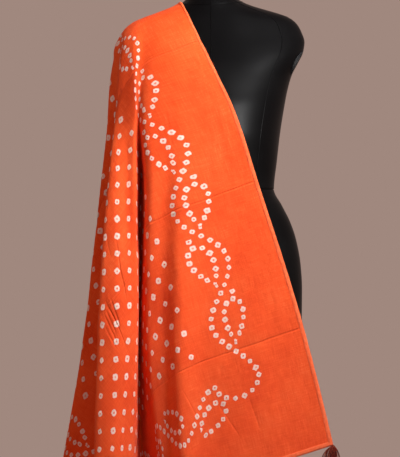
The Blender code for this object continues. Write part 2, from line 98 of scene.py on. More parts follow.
def monotone(x, y, at):
    """A smooth curve through (x, y) that never overshoots; y may hold several columns."""
    x, y, at = np.asarray(x, float), np.asarray(y, float), np.asarray(at, float)
    flat = y.ndim == 1
    y = y.reshape(len(x), -1)
    step = np.diff(x)[:, None]
    slope = np.diff(y, axis=0) / step
    inner = np.zeros_like(y)
    same = slope[:-1] * slope[1:] > 0
    weight_a, weight_b = 2 * step[1:] + step[:-1], step[1:] + 2 * step[:-1]
    safe_a = np.where(same, slope[:-1], 1)
    safe_b = np.where(same, slope[1:], 1)
    inner[1:-1] = np.where(same, (weight_a + weight_b) / (weight_a / safe_a + weight_b / safe_b), 0)
    inner[0], inner[-1] = slope[0], slope[-1]
    i = np.clip(np.searchsorted(x, at, side="right") - 1, 0, len(x) - 2)
    width = step[i, 0][:, None]
    t = (at - x[i])[:, None] / width
    out = (
        (1 + 2 * t) * (1 - t) ** 2 * y[i]
        + t * (1 - t) ** 2 * width * inner[i]
        + t * t * (3 - 2 * t) * y[i + 1]
        + t * t * (t - 1) * width * inner[i + 1]
    )
    return out[:, 0] if flat else out


def ease(low, high, value):
    """A smooth step from 0 at low to 1 at high."""
    t = np.clip((np.asarray(value, float) - low) / (high - low), 0, 1)
    return t * t * (3 - 2 * t)


def form_section(z):
    """Half width, front depth and back depth of the form at heights on its own, unleaned axis."""
    return monotone(FORM_RINGS[:, 0], FORM_RINGS[:, 1:], np.atleast_1d(z)).T


def lean(x, z):
    """How far the form's surface is raised at x by the slope of its shoulders."""
    return SHOULDER_LEAN * x * ease(LEAN_FROM, LEAN_TO, z)


def on_form(turn, z, lift=0.0):
    """The point of the form's surface at a turn about its axis from +X, and lift outside it."""
    half_width, front, back = (float(value[0]) for value in form_section(z))
    depth = front if sin(turn) < 0 else back
    out = Vector((cos(turn) / half_width, sin(turn) / depth, 0)).normalized()
    x, y = half_width * cos(turn), depth * sin(turn)
    return Vector((x, y, z + float(lean(x, z)))) + lift * out


def new_piece(name, bm, finish, replaced=()):
    """Makes a named piece of a bmesh, in place, smooth, and riding on the one body."""
    mesh = bpy.data.meshes.new(name)
    bm.to_mesh(mesh)
    bm.free()
    mesh.shade_smooth()
    mesh.materials.append(finish)
    piece = placed(name, mesh)
    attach(piece, "root")
    if replaced:
        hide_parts(*replaced)
    return piece


def drum(segments, rings):
    """A closed drum, one high and one in radius, whose side is cut into level rings."""
    bm = bmesh.new()
    bmesh.ops.create_cone(bm, cap_ends=True, segments=segments, radius1=1, radius2=1, depth=1)
    sides = [edge for edge in bm.edges if abs(edge.verts[0].co.z - edge.verts[1].co.z) > 0.5]
    bmesh.ops.subdivide_edges(bm, edges=sides, cuts=rings - 1, use_grid_fill=True)
    return bm


def form_half(name, low, high, node):
    """A closed, finely ringed half of the form between two heights, with a rounded rim at each end."""
    bm = drum(FORM_SIDES, round((high - low) / RING_STEP))
    for vert in bm.verts:
        turn = atan2(vert.co.y, vert.co.x)
        vert.co = on_form(turn, low + (vert.co.z + 0.5) * (high - low))
    ends = [face for face in bm.faces if len(face.verts) > 4]
    for end in ends:
        middle = end.calc_center_median()
        rim = bmesh.ops.inset_region(bm, faces=[end], thickness=RIM, use_even_offset=True)["faces"]
        inwards = -1 if middle.z > (low + high) / 2 else 1
        outer = {vert for face in rim for vert in face.verts} - set(end.verts)
        for vert in outer:
            vert.co.z += inwards * RIM
    bmesh.ops.recalc_face_normals(bm, faces=bm.faces)
    piece = new_piece(name, bm, jersey, (node,))
    piece.data.set_sharp_from_angle(angle=radians(50))
    return piece


class Reading:
    """A number that a material works out at each point. Sums of readings add Math nodes."""

    def __init__(self, tree, socket):
        self.tree, self.socket = tree, socket

    def math(self, operation, *others):
        node = self.tree.nodes.new("ShaderNodeMath")
        node.operation = operation
        for slot, value in zip(node.inputs, (self, *others)):
            if isinstance(value, Reading):
                self.tree.links.new(value.socket, slot)
            else:
                slot.default_value = value
        return Reading(self.tree, node.outputs[0])

    def __add__(self, other):
        return self.math("ADD", other)

    def __sub__(self, other):
        return self.math("SUBTRACT", other)

    def __mul__(self, other):
        return self.math("MULTIPLY", other)

    def __truediv__(self, other):
        return self.math("DIVIDE", other)

    def step(self, low, high):
        """A smooth step from 0 at low to 1 at high; low may be the greater."""
        node = self.tree.nodes.new("ShaderNodeMapRange")
        node.interpolation_type = "SMOOTHSTEP"
        self.tree.links.new(self.socket, node.inputs["Value"])
        node.inputs["From Min"].default_value = low
        node.inputs["From Max"].default_value = high
        return Reading(self.tree, node.outputs["Result"])


class Finish:
    """A material under construction: its shader and the nodes that its looks are worked out by."""

    def __init__(self, name, roughness, **sockets):
        self.material = bpy.data.materials.new(name)
        self.material.use_nodes = True
        self.tree = self.material.node_tree
        self.shader = self.tree.nodes["Principled BSDF"]
        self.shader.inputs["Roughness"].default_value = roughness
        for socket, value in sockets.items():
            self.shader.inputs[socket.replace("_", " ")].default_value = value
        self.coordinates = self.tree.nodes.new("ShaderNodeTexCoord")

    def place(self, scale=(1, 1, 1), source="Object"):
        """Object or UV coordinates in metres, scaled along each axis."""
        mapping = self.tree.nodes.new("ShaderNodeMapping")
        mapping.inputs["Scale"].default_value = scale
        self.tree.links.new(self.coordinates.outputs[source], mapping.inputs["Vector"])
        return mapping.outputs["Vector"]

    def mottle(self, vector, size, detail=2.0, roughness=0.5):
        """Soft noise from 0 to 1 whose lumps are about size metres across."""
        node = self.tree.nodes.new("ShaderNodeTexNoise")
        node.inputs["Scale"].default_value = 1 / size
        node.inputs["Detail"].default_value = detail
        node.inputs["Roughness"].default_value = roughness
        self.tree.links.new(vector, node.inputs["Vector"])
        return Reading(self.tree, node.outputs["Fac"])

    def wave(self, vector, size, direction):
        """Even threads along one axis, size metres from one to the next."""
        node = self.tree.nodes.new("ShaderNodeTexWave")
        node.bands_direction = direction
        node.inputs["Scale"].default_value = tau / 20 / size
        self.tree.links.new(vector, node.inputs["Vector"])
        return Reading(self.tree, node.outputs["Fac"])

    def blend(self, share, first, second):
        """Mixes two colours, each an RGB triple or a socket, by a reading."""
        node = self.tree.nodes.new("ShaderNodeMix")
        node.data_type = "RGBA"
        self.tree.links.new(share.socket, node.inputs["Factor"])
        for slot, colour in (("A", first), ("B", second)):
            target = next(socket for socket in node.inputs if socket.identifier == f"{slot}_Color")
            if isinstance(colour, tuple):
                target.default_value = (*colour, 1)
            else:
                self.tree.links.new(colour, target)
        return next(socket for socket in node.outputs if socket.identifier == "Result_Color")

    def colour(self, share, first, second):
        """Colours the surface with a blend of two colours."""
        self.tree.links.new(self.blend(share, first, second), self.shader.inputs["Base Color"])

    def relief(self, height, depth):
        """Raises the surface by up to depth metres where height is 1."""
        bump = self.tree.nodes.new("ShaderNodeBump")
        bump.inputs["Strength"].default_value = 1.0
        bump.inputs["Distance"].default_value = depth
        self.tree.links.new(height.socket, bump.inputs["Height"])
        self.tree.links.new(bump.outputs["Normal"], self.shader.inputs["Normal"])


JERSEY_BLACK = (0.0018, 0.0018, 0.0021)
JERSEY_WORN = (0.0030, 0.0030, 0.0033)
jersey_finish = Finish("black jersey", 0.38, Specular_IOR_Level=0.07)
knit = jersey_finish.place()
ribs = jersey_finish.wave(knit, 0.0014, "X") + jersey_finish.wave(knit, 0.0019, "Z")
fuzz = jersey_finish.mottle(knit, 0.0020, 4.0)
rubbed = jersey_finish.mottle(knit, 0.090, 3.0)
jersey_finish.colour(rubbed.step(0.35, 0.75), JERSEY_BLACK, JERSEY_WORN)
jersey_finish.relief(ribs * 0.25 + fuzz, 0.00012)
jersey = jersey_finish.material

form_half("torso_cover", WAIST_JOINT + JOINT_HALF, FORM_TOP, "form_torso")
form_half("hips_cover", FORM_FOOT, WAIST_JOINT - JOINT_HALF, "form_hips")

WELT_RADIUS = 0.0009
WELT_FOOT, WELT_HEAD, WELT_POINTS = FORM_FOOT + 0.02, 1.535, 90
TURNING_FROM, TURNING_TO = 0.9, 1.5  # the heights between which a seam moves round the form
NECK_SEAM, NECK_DIP = 1.532, 0.006  # its middle height, and how far it rises and falls
SEAM_RUNS = {  # turns about the form from +X, in degrees, at the seam's foot and head
    "middle": (-90, -90),
    "left_bust": (-128, -140),
    "right_bust": (-52, -40),
    "back_middle": (90, 90),
    "left_back": (125, 132),
    "right_back": (55, 48),
}


def threads(name, runs, thickness, finish, sides=0, closed=False):
    """Round threads as one piece, each through its own list of points."""
    curve = bpy.data.curves.new(name, "CURVE")
    curve.dimensions = "3D"
    curve.bevel_depth = thickness
    curve.bevel_resolution = sides
    curve.use_fill_caps = True
    for run in runs:
        spline = curve.splines.new("POLY")
        spline.points.add(len(run) - 1)
        for point, place in zip(spline.points, run):
            point.co = (*place, 1)
        spline.use_cyclic_u = closed
    curve.materials.append(finish)
    piece = placed(name, curve)
    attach(piece, "root")
    return piece


heights = np.linspace(WELT_FOOT, WELT_HEAD, WELT_POINTS)
for seam, (foot, head) in SEAM_RUNS.items():
    turns = np.radians(np.interp(heights, (TURNING_FROM, TURNING_TO), (foot, head)))
    run = [on_form(turn, z) for turn, z in zip(turns, heights)]
    threads(f"seam_{seam}", [run], WELT_RADIUS, jersey, sides=1)
turns = np.linspace(0, tau, 72, endpoint=False)
run = [on_form(turn, NECK_SEAM - NECK_DIP * cos(turn + pi / 2)) for turn in turns]
threads("seam_neck", [run], WELT_RADIUS, jersey, sides=1, closed=True)


# ---------------------------------------------------------------- the neck cap and arm plates
# Turned hardboard discs, painted a matt black, screwed over the openings of the moulded shell. The
# paint is rubbed a little here and there.

PLATE_BLACK = (0.010, 0.010, 0.011)
PLATE_RUBBED = (0.028, 0.027, 0.026)
plate_finish = Finish("black plate", 0.62, Specular_IOR_Level=0.08)
grain = plate_finish.mottle(plate_finish.place(), 0.004, 5.0, 0.6)
blotch = plate_finish.mottle(plate_finish.place(), 0.030, 3.0)
plate_finish.colour((grain * 0.5 + blotch * 0.5).step(0.45, 0.75), PLATE_BLACK, PLATE_RUBBED)
plate_finish.relief(grain, 0.0003)


def coat(names, finish):
    """Gives the named solids a finish in place of their plain one."""
    for name in names:
        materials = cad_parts[name].data.materials
        materials.clear()
        materials.append(finish)


coat(("form_neck_cap", "arm_plate_left", "arm_plate_right"), plate_finish.material)


# ---------------------------------------------------------------- the stand
# A steel tube in a cast collar, on a heavy turned base, all powder-coated in satin black. The coat has
# a fine orange-peel texture, and dust lies on the base.

COAT_BLACK = (0.016, 0.016, 0.017)
DUST_GREY = (0.055, 0.052, 0.050)
coat_finish = Finish("black powder coat", 0.38, Coat_Weight=0.15, Coat_Roughness=0.3)
peel = coat_finish.mottle(coat_finish.place(), 0.0016)
dust = coat_finish.mottle(coat_finish.place(), 0.045, 6.0, 0.7)
coat_finish.colour(dust.step(0.50, 0.85), COAT_BLACK, DUST_GREY)
coat_finish.relief(peel, 0.00025)
coat(("stand_collar", "stand_pole", "stand_base"), coat_finish.material)


# ---------------------------------------------------------------- the stole
# One oblong of plain-weave cotton with four edges, laid over the shoulder on the slant, so it falls in
# long cones from the shoulder tip. Where each hanging line runs, and the folds it passes, are as below.

CLOTH_WIDTH = 1.04
CLOTH_LENGTH = 2.00
FRONT_LENGTH = 0.995  # from the front hem to the shoulder line, along the warp
CLOTH_WALL = 0.0008
NECK_X, TIP_X = -0.060, -0.174  # the inner selvedge and the shoulder tip, on the shoulder line
TIP_ACROSS = 0.125  # from the inner selvedge to the shoulder tip, across the cloth
CLEAR = 0.0027  # from the form to the middle of the cloth's wall
PLATE_CLEAR = 0.0060  # more than that over the arm plate
PLATE_SIDE, PLATE_Z, PLATE_REACH = -0.12, 1.404, 0.045
MOST_PUSH, PUSHES = 0.01, 6  # how far and how often a point inside the form is moved out
CHEST_Z, WAIST_Z, HIP_Z, FOOT_Z, LOWEST_Z = 1.320, 1.150, 0.900, 0.450, 0.020
SHOULDER_KNOTS = (0.0, 0.04, 0.12, 0.26, 0.50, 0.78)  # shares of the way down from there to the chest

# angle is the hanging line's angle to the warp, in degrees, and swing is how much less it is close to
# the shoulder, where the cloth is held. start is how far across the cloth the line leaves the
# shoulder, in millimetres. Its (x, y) follow at the height of the chest, waist, hip and foot.
Fold = namedtuple("Fold", "name angle swing start chest waist hip foot")
FRONT_FOLDS = [
    Fold("inner selvedge", 0, 0, 0, (42, -122), (98, -128), (177, -135), (288, -150)),
    Fold("flat breast", 8, 0, 0, (7, -126), (39, -135), (81, -142), (126, -158)),
    Fold("flat edge", 15, 0, 0, (-23, -128), (-12, -139), (-6, -148), (-4, -154)),
    Fold("first ridge", 18.6, 1, 18, (-70, -129), (-66, -146), (-66, -166), (-46, -184)),
    Fold("shade trough", 21.0, 4, 29, (-98, -125), (-90, -133), (-92, -138), (-66, -136)),
    Fold("narrow ridge", 23.2, 9, 47, (-122, -121), (-117, -140), (-121, -134), (-76, -130)),
    Fold("valley lip", 26.2, 19, 62, (-138, -115), (-131, -128), (-133, -117), (-82, -112)),
    Fold("deep valley", 31, 30, 80, (-144, -101), (-140.5, -48), (-144, -80), (-138, -18)),
    Fold("inner bead", 37.4, 40, 100, (-151, -109), (-151, -131), (-145.5, -148), (-160, -168)),
    Fold("bead hollow", 39.4, 38, 113, (-162, -96), (-168, -117), (-163, -160), (-177, -190)),
    Fold("great ridge", 41.8, 36, 125, (-180, -83), (-184, -134), (-187, -170), (-198, -206)),
    Fold("ridge side", 45.4, 16, 125, (-191, -68), (-208, -120), (-222, -156), (-236, -182)),
    Fold("arm valley", 57, 4, 125, (-186, -40), (-158, -38), (-180, -58), (-176, -48)),
    Fold("front ridge", 69, 0, 125, (-210, -18), (-227, -30), (-252, -50), (-326, -74)),
    Fold("arm hollow", 78, 0, 125, (-204, 2), (-170, 0), (-196, -6), (-150, 0)),
    Fold("arm middle ridge", 86, 0, 125, (-209, 22), (-226, 30), (-250, 38), (-306, 54)),
    Fold("arm middle", 90, 0, 125, (-206, 32), (-208, 41), (-228, 54), (-250, 70)),
]
BACK_FOLDS = [
    Fold("inner selvedge", 0, 0, 0, (30, 108), (73, 117), (122, 128), (176, 138)),
    Fold("back wave", 4.5, 0, 0, (13, 112), (54, 124), (98, 152), (136, 190)),
    Fold("flat back", 8.5, 0, 0, (-4, 111), (25, 116), (52, 132), (72, 146)),
    Fold("blade trough", 14, 0, 0, (-40, 109), (-30, 106), (-24, 120), (-22, 118)),
    Fold("blade ridge", 18.6, 1, 18, (-62, 110), (-56, 129), (-52, 154), (-50, 180)),
    Fold("back trough", 22.6, 6, 29, (-84, 104), (-80, 86), (-78, 112), (-76, 84)),
    Fold("back ridge", 27, 12, 47, (-106, 106), (-108, 131), (-108, 160), (-110, 190)),
    Fold("back valley", 33, 24, 80, (-132, 92), (-141, 50), (-140, 100), (-130, 22)),
    Fold("broad ridge", 41, 34, 125, (-156, 90), (-162, 126), (-168, 160), (-182, 198)),
    Fold("broad hollow", 45, 22, 125, (-170, 84), (-180, 108), (-190, 132), (-202, 142)),
    Fold("broad ridge side", 50, 10, 125, (-184, 77), (-208, 108), (-230, 142), (-262, 166)),
    Fold("arm back valley", 61, 3, 125, (-186, 62), (-158, 62), (-170, 82), (-160, 60)),
    Fold("arm back ridge", 72.5, 0, 125, (-203, 55), (-228, 84), (-256, 110), (-312, 130)),
    Fold("arm back hollow", 82, 0, 125, (-202, 42), (-174, 50), (-198, 62), (-192, 56)),
    Fold("arm middle", 90, 0, 125, (-206, 32), (-208, 41), (-228, 54), (-250, 70)),
]


def form_field(points):
    """Below 1 inside the form and above 1 outside it."""
    x, y, z = points.T
    level = z - lean(x, z)
    half_width, front, back = form_section(np.clip(level, FORM_FOOT, FORM_TOP))
    depth = np.where(y < 0, front, back)
    field = (x / half_width) ** 2 + (y / depth) ** 2
    return np.where((level < FORM_FOOT) | (level > FORM_TOP), 9.0, field)


def clear_of_form(points):
    """Moves points that lie nearer than CLEAR to the form out of it."""
    points = points.copy()
    tiny = 0.0005
    for _ in range(PUSHES):
        field = form_field(points)
        ways = [form_field(points + tiny * axis) - form_field(points - tiny * axis) for axis in np.eye(3)]
        slope = np.stack(ways, axis=1) / (2 * tiny)
        steepness = np.maximum(np.linalg.norm(slope, axis=1), 1e-6)
        gap, out = (field - 1) / steepness, slope / steepness[:, None]
        x, y, z = points.T
        over_plate = np.exp(-(((z - PLATE_Z) / PLATE_REACH) ** 2) - (y / PLATE_REACH) ** 2)
        needed = CLEAR + PLATE_CLEAR * (over_plate * (x < PLATE_SIDE))
        near = (gap < needed) & (field < 4)
        points[near] += (np.clip(needed - gap, 0, MOST_PUSH)[:, None] * out)[near]
    return points


def shoulder_height(x):
    """The height of the middle of the cloth's wall on the form's shoulder line."""
    heights = np.linspace(1.40, 1.56, 321)
    half_widths = form_section(heights)[0]
    widest = half_widths.argmax()
    level = np.interp(-np.abs(x), -half_widths[widest:], heights[widest:])
    return level + lean(x, level) + CLEAR


SIDE_ANGLES = (36, 60)  # between these, lines turn from falling forwards to falling over the arm
LINE_STEPS = 160


def hanging_line(folds, angle):
    """One hanging line's points from the shoulder down, how far along it each is, and its start."""
    table = np.array([(fold.start, *fold.chest, *fold.waist, *fold.hip, *fold.foot) for fold in folds])
    start, *places = monotone([fold.angle for fold in folds], table / 1000, [angle])[0]
    places = np.array(places).reshape(-1, 2)
    top_x = NECK_X + (TIP_X - NECK_X) * start / TIP_ACROSS
    top_z = float(shoulder_height(top_x))
    side = float(ease(*SIDE_ANGLES, angle))
    knots = []
    for share in SHOULDER_KNOTS:
        bulge = np.sqrt(1 - (1 - share) ** 2)
        outward = (1 - side) * share + side * bulge**1.3
        knots.append((top_x + (places[0, 0] - top_x) * outward, places[0, 1] * bulge))
    knots += list(places)
    knots.append(places[3] + (places[3] - places[2]) * (FOOT_Z - LOWEST_Z) / (HIP_Z - FOOT_Z))
    knots_z = [top_z - share * (top_z - CHEST_Z) for share in SHOULDER_KNOTS]
    knots_z += [CHEST_Z, WAIST_Z, HIP_Z, FOOT_Z, LOWEST_Z]
    z = top_z - (top_z - LOWEST_Z) * np.linspace(0, 1, LINE_STEPS) ** 1.6  # closest at the shoulder
    xy = monotone(-np.array(knots_z), np.array(knots), -z)
    points = clear_of_form(np.column_stack([xy, z]))
    along = np.concatenate([[0], np.cumsum(np.linalg.norm(np.diff(points, axis=0), axis=1))])
    return points, along, start


LINE_ANGLES = np.linspace(0, 90, 451)
LINE_PLACES = np.linspace(0, 1.45, 420)  # how far down a hanging line its points are kept
SWING_FADE = 0.215  # how far down a hanging line its swing has fallen to about a third


def fall_table(folds):
    """Where every hanging line of one fall starts, its swing, and its points at LINE_PLACES."""
    starts, lines = [], []
    for angle in LINE_ANGLES:
        points, along, start = hanging_line(folds, angle)
        starts.append(start)
        lines.append(np.stack([np.interp(LINE_PLACES, along, points[:, k]) for k in range(3)], axis=1))
    swings = monotone([fold.angle for fold in folds], [fold.swing for fold in folds], LINE_ANGLES)
    return np.array(starts), swings, np.array(lines)


FALLS = {"front": fall_table(FRONT_FOLDS), "back": fall_table(BACK_FOLDS)}


def hung(across, below, fall):
    """Places of the cloth at distances across it, all at one distance below the shoulder line."""
    starts, swings, lines = FALLS[fall]
    angles = np.minimum(LINE_ANGLES, 89.9999)  # short of level, whose tangent has no end
    slant = np.radians(angles)
    for _ in range(6):
        slant = np.radians(angles - swings * np.exp(-below / np.cos(slant) / SWING_FADE))
    reach = np.maximum.accumulate(starts + below * np.tan(slant))
    number = np.interp(across, reach, np.arange(len(reach)))
    start = np.interp(number, np.arange(len(starts)), starts)
    down = np.interp(np.hypot(across - start, below), LINE_PLACES, np.arange(len(LINE_PLACES)))
    line = np.minimum(number.astype(int), len(starts) - 2)
    row = np.minimum(down.astype(int), len(LINE_PLACES) - 2)
    u, v = (number - line)[:, None], (down - row)[:, None]
    near = (1 - v) * lines[line, row] + v * lines[line, row + 1]
    far = (1 - v) * lines[line + 1, row] + v * lines[line + 1, row + 1]
    return (1 - u) * near + u * far


ACROSS_CELLS, ALONG_CELLS = 158, 304
ROUNDING = 6  # passes that ease the sharpest folds to the round that cotton takes
across_lines = np.linspace(0, CLOTH_WIDTH, ACROSS_CELLS + 1)
along_lines = np.linspace(0, CLOTH_LENGTH, ALONG_CELLS + 1)  # from the front hem


def eased(points):
    """One pass of rounding, with the corners held and the edges rounded only along themselves."""
    out = points.copy()
    out[1:-1, 1:-1] += 0.5 * (
        (points[2:, 1:-1] + points[:-2, 1:-1] + points[1:-1, 2:] + points[1:-1, :-2]) / 4
        - points[1:-1, 1:-1]
    )
    for edge in (0, -1):
        out[edge, 1:-1] += 0.25 * (points[edge, 2:] + points[edge, :-2] - 2 * points[edge, 1:-1])
        out[1:-1, edge] += 0.25 * (points[2:, edge] + points[:-2, edge] - 2 * points[1:-1, edge])
    return out


def outward(points):
    """The cloth's unit normals, away from the form."""
    normal = np.cross(np.gradient(points, axis=0), np.gradient(points, axis=1))
    return normal / np.linalg.norm(normal, axis=2)[..., None]


rows = []
for below in FRONT_LENGTH - along_lines:
    rows.append(hung(across_lines, abs(below), "front" if below >= 0 else "back"))
drape = np.stack(rows, axis=1)
for _ in range(ROUNDING):
    drape = eased(drape)

PRESS_FIRST, PRESS_STEP = 0.240, 0.305  # where the cloth was folded flat, from the front hem
PRESS_DEPTH, PRESS_HALF, PRESS_WANDER = 0.0026, 0.0070, 0.003
RIPPLE_DEPTH, RIPPLE_FROM = 0.0026, 0.35  # and how far from the shoulder ripples reach their depth

# Where the folds pinch, the cloth is drawn into short slanting tucks. Each row says where one starts
# and ends, both across and along the cloth from the front hem, and its height, in millimetres. The
# back has the same ones, measured from its own hem.
TUCKS = np.array([
    (517, 566, 547, 446, 2.2), (503, 560, 534, 488, -2.0), (529, 548, 549, 486, -1.8),
    (538, 546, 561, 468, 1.8), (553, 530, 569, 462, -1.6), (438, 598, 483, 514, 2.0),
    (412, 632, 457, 566, -1.8), (424, 664, 452, 606, 1.6), (116, 745, 139, 650, -1.2),
    (200, 484, 246, 458, 1.2), (145, 155, 137, 68, 1.2), (278, 216, 255, 126, -1.2),
    (212, 162, 176, 62, 1.2), (528, 668, 476, 622, 1.8), (700, 640, 745, 560, 1.6),
    (830, 520, 860, 400, -1.6),
]) / 1000
TUCK_HALF, TUCK_DEEPEST = 0.0068, 0.0022
TUCK_BEND = 0.004  # how far a tuck wanders from a straight line


def tucked(across, along):
    """How far the short tucks lift or sink the cloth here."""
    total = 0.0
    for u0, v0, u1, v1, depth in TUCKS:
        length = np.hypot(u1 - u0, v1 - v0)
        run = ((across - u0) * (u1 - u0) + (along - v0) * (v1 - v0)) / length**2
        if 0 < run < 1:
            off = ((across - u0) * (v1 - v0) - (along - v0) * (u1 - u0)) / length
            off += TUCK_BEND * sin(5.0 * run + 40 * u0)
            total += depth * sin(pi * run) ** 0.7 * np.exp(-((off / TUCK_HALF) ** 2))
    return total


def wrinkle(across, along):
    """How far the cloth stands off its smooth drape: soft ripples, short tucks and pressed lines."""
    below = abs(FRONT_LENGTH - along)
    angle = atan2(across, below + 0.05)
    length = np.hypot(across, below)
    ripple = noise.noise(Vector((angle * 9.0, length * 2.2, 3.1)))
    ripple += 0.5 * noise.noise(Vector((angle * 21.0, length * 4.5, 7.7)))
    dent = noise.noise(Vector((across * 16.0, along * 12.0, 1.3)))
    depth = RIPPLE_DEPTH * (ripple + 0.35 * dent) * min(1.0, length / RIPPLE_FROM)
    number = round((along - PRESS_FIRST) / PRESS_STEP)
    wander = PRESS_WANDER * noise.noise(Vector((across * 8.0, number, 0.0)))
    off = along - PRESS_FIRST - number * PRESS_STEP + wander
    strength = 0.65 + 0.5 * noise.noise(Vector((across * 5.0, number * 3.7, 5.0)))
    tucks = tucked(across, along if along < FRONT_LENGTH else CLOTH_LENGTH - along)
    return depth + tucks + PRESS_DEPTH * strength * (-1) ** number * np.exp(-abs(off) / PRESS_HALF)


lift = np.array([[wrinkle(u, v) for v in along_lines] for u in across_lines])
drape = drape + outward(drape) * lift[..., None]
drape = clear_of_form(drape.reshape(-1, 3)).reshape(drape.shape)
drape_out = outward(drape)


def on_cloth(across, along, lift=0.0):
    """The point of the cloth at distances across and along it, and lift outside it."""
    i = np.clip(across / CLOTH_WIDTH * ACROSS_CELLS, 0, ACROSS_CELLS - 1e-6)
    j = np.clip(along / CLOTH_LENGTH * ALONG_CELLS, 0, ALONG_CELLS - 1e-6)
    a, b, u, v = int(i), int(j), i % 1, j % 1
    place, out = (
        (1 - u) * ((1 - v) * grid[a, b] + v * grid[a, b + 1])
        + u * ((1 - v) * grid[a + 1, b] + v * grid[a + 1, b + 1])
        for grid in (drape, drape_out)
    )
    return Vector(place) + lift * Vector(out)


# The dye is tied by hand: a pinch of cloth is bound with thread for every ring, so each comes out as a
# small uneven square. A field of rings lies on the slant inside a creeper of stem and leaves.

RING_PITCH = 0.0172  # between the rings of the creeper
FIELD_EDGE, FIELD_FOOT = 0.234, 0.258  # from the long sides to the field, and from the hems
FIELD_CELLS_ACROSS, FIELD_CELLS_ALONG = 23, 60
# how far in the stem's middle is, how far it swings to either side, and its length from crest to crest
STEM_MIDDLE, STEM_SWING, STEM_WAVE = 0.147, 0.033, 0.24143  # along the long sides
HEM_MIDDLE, HEM_SWING, HEM_WAVE = 0.142, 0.040, 0.210  # along the hems
SIDE_CREST, HEM_CREST = 0.178, 0.310  # the first crest along a long side, and along a hem
STEM_START, HEM_STEM_START = 0.190, 0.200  # where the stem leaves the corner's loop
LEAF_START, HEM_LEAF_START = 0.20, 0.18  # and no leaf's middle lies nearer the corner than this
CORNER_END = 0.21  # and no ring of the corner's loop lies further in than this
LEAF_HALF_LENGTH, LEAF_HALF_WIDTH = 0.0425, 0.0255
LEAF_SHIFT, LEAF_TILT, HEM_LEAF_TILT = 0.012, radians(11), radians(-36)
HEM_LEAF_LAG, HEM_LEAF_SHIFT = 0.026, 0.021  # from the middle of its bay, along and off the stem
STALK_RINGS, STALK_RISE = 3, 0.0045  # and how far each ring of a stalk stands beside the last
STALK_PITCH = RING_PITCH * 0.9
CORNER_MIDDLE, CORNER_RADII, CORNER_RINGS = (0.160, 0.186), (0.046, 0.038), 7
CORNER_TURN = radians(14)  # how far round the loop its first ring is
BORDER_RING, FIELD_RING = 0.0050, 0.0060  # radii
SQUARENESS = 3.2  # of a ring: 2 is round, and a true square has no end

DYE = (0.86, 0.092, 0.016)
DYE_DEEP = (0.76, 0.060, 0.009)
DYE_PALE = (0.90, 0.142, 0.036)
UNDYED = (0.84, 0.62, 0.54)

cotton = Finish("orange cotton", 0.85, Sheen_Weight=0.03, Sheen_Roughness=0.4, Specular_IOR_Level=0.10)


def sines(share, parts):
    """share plus a sine of each part: the first has one wave in share, the next has two."""
    total = share
    for waves, part in enumerate(parts, 1):
        total = total + (share * (tau * waves)).math("SINE") * part
    return total


def even_parts(outline, terms):
    """How to turn shares of an outline's parameter into shares of its length, and back."""
    share = np.linspace(0, 1, 721)
    steps = np.linalg.norm(np.diff(outline(share), axis=1), axis=0)
    length = np.concatenate([[0], np.cumsum(steps)])
    waves = np.sin(tau * np.outer(share, range(1, terms + 1)))
    there = np.linalg.lstsq(waves, length / length[-1] - share, rcond=None)[0]
    back = np.linalg.lstsq(waves, np.interp(share, length / length[-1], share) - share, rcond=None)[0]
    return [float(part) for part in there], [float(part) for part in back], length[-1]


def stem_outline(share):
    return np.array([share * STEM_WAVE, -STEM_SWING * np.cos(tau * share)])


def leaf_outline(share):
    turn = tau * share
    return np.array([LEAF_HALF_LENGTH * np.cos(turn), LEAF_HALF_WIDTH * np.sin(turn) * np.sin(turn / 2)])


uv = cotton.tree.nodes.new("ShaderNodeSeparateXYZ")
cotton.tree.links.new(cotton.coordinates.outputs["UV"], uv.inputs["Vector"])
across = Reading(cotton.tree, uv.outputs["X"])
along = Reading(cotton.tree, uv.outputs["Y"])
from_side = across.math("MINIMUM", across * -1 + CLOTH_WIDTH)
from_hem = along.math("MINIMUM", along * -1 + CLOTH_LENGTH)


def choose(test, yes, no):
    """yes where test is 1 and no where it is 0."""
    mix = cotton.tree.nodes.new("ShaderNodeMix")
    cotton.tree.links.new(test.socket, mix.inputs["Factor"])
    for slot, value in (("A", no), ("B", yes)):
        target = mix.inputs[slot]
        if isinstance(value, Reading):
            cotton.tree.links.new(value.socket, target)
        else:
            target.default_value = value
    return Reading(cotton.tree, mix.outputs["Result"])


def nearest_stem_ring(s, w, first):
    """Offsets to the stem's nearest ring from a point s along the border and w in from the edge."""
    there, back, length = even_parts(stem_outline, 4)
    count = round(length / RING_PITCH)
    phase = (s - first) / border_wave
    number = (sines(phase, there) * count).math("ROUND")
    ring_phase = sines(number / count, back)
    ring_w = border_middle - (ring_phase * tau).math("COSINE") * border_swing
    return (phase - ring_phase) * border_wave, w - ring_w, number, ring_phase * border_wave + first


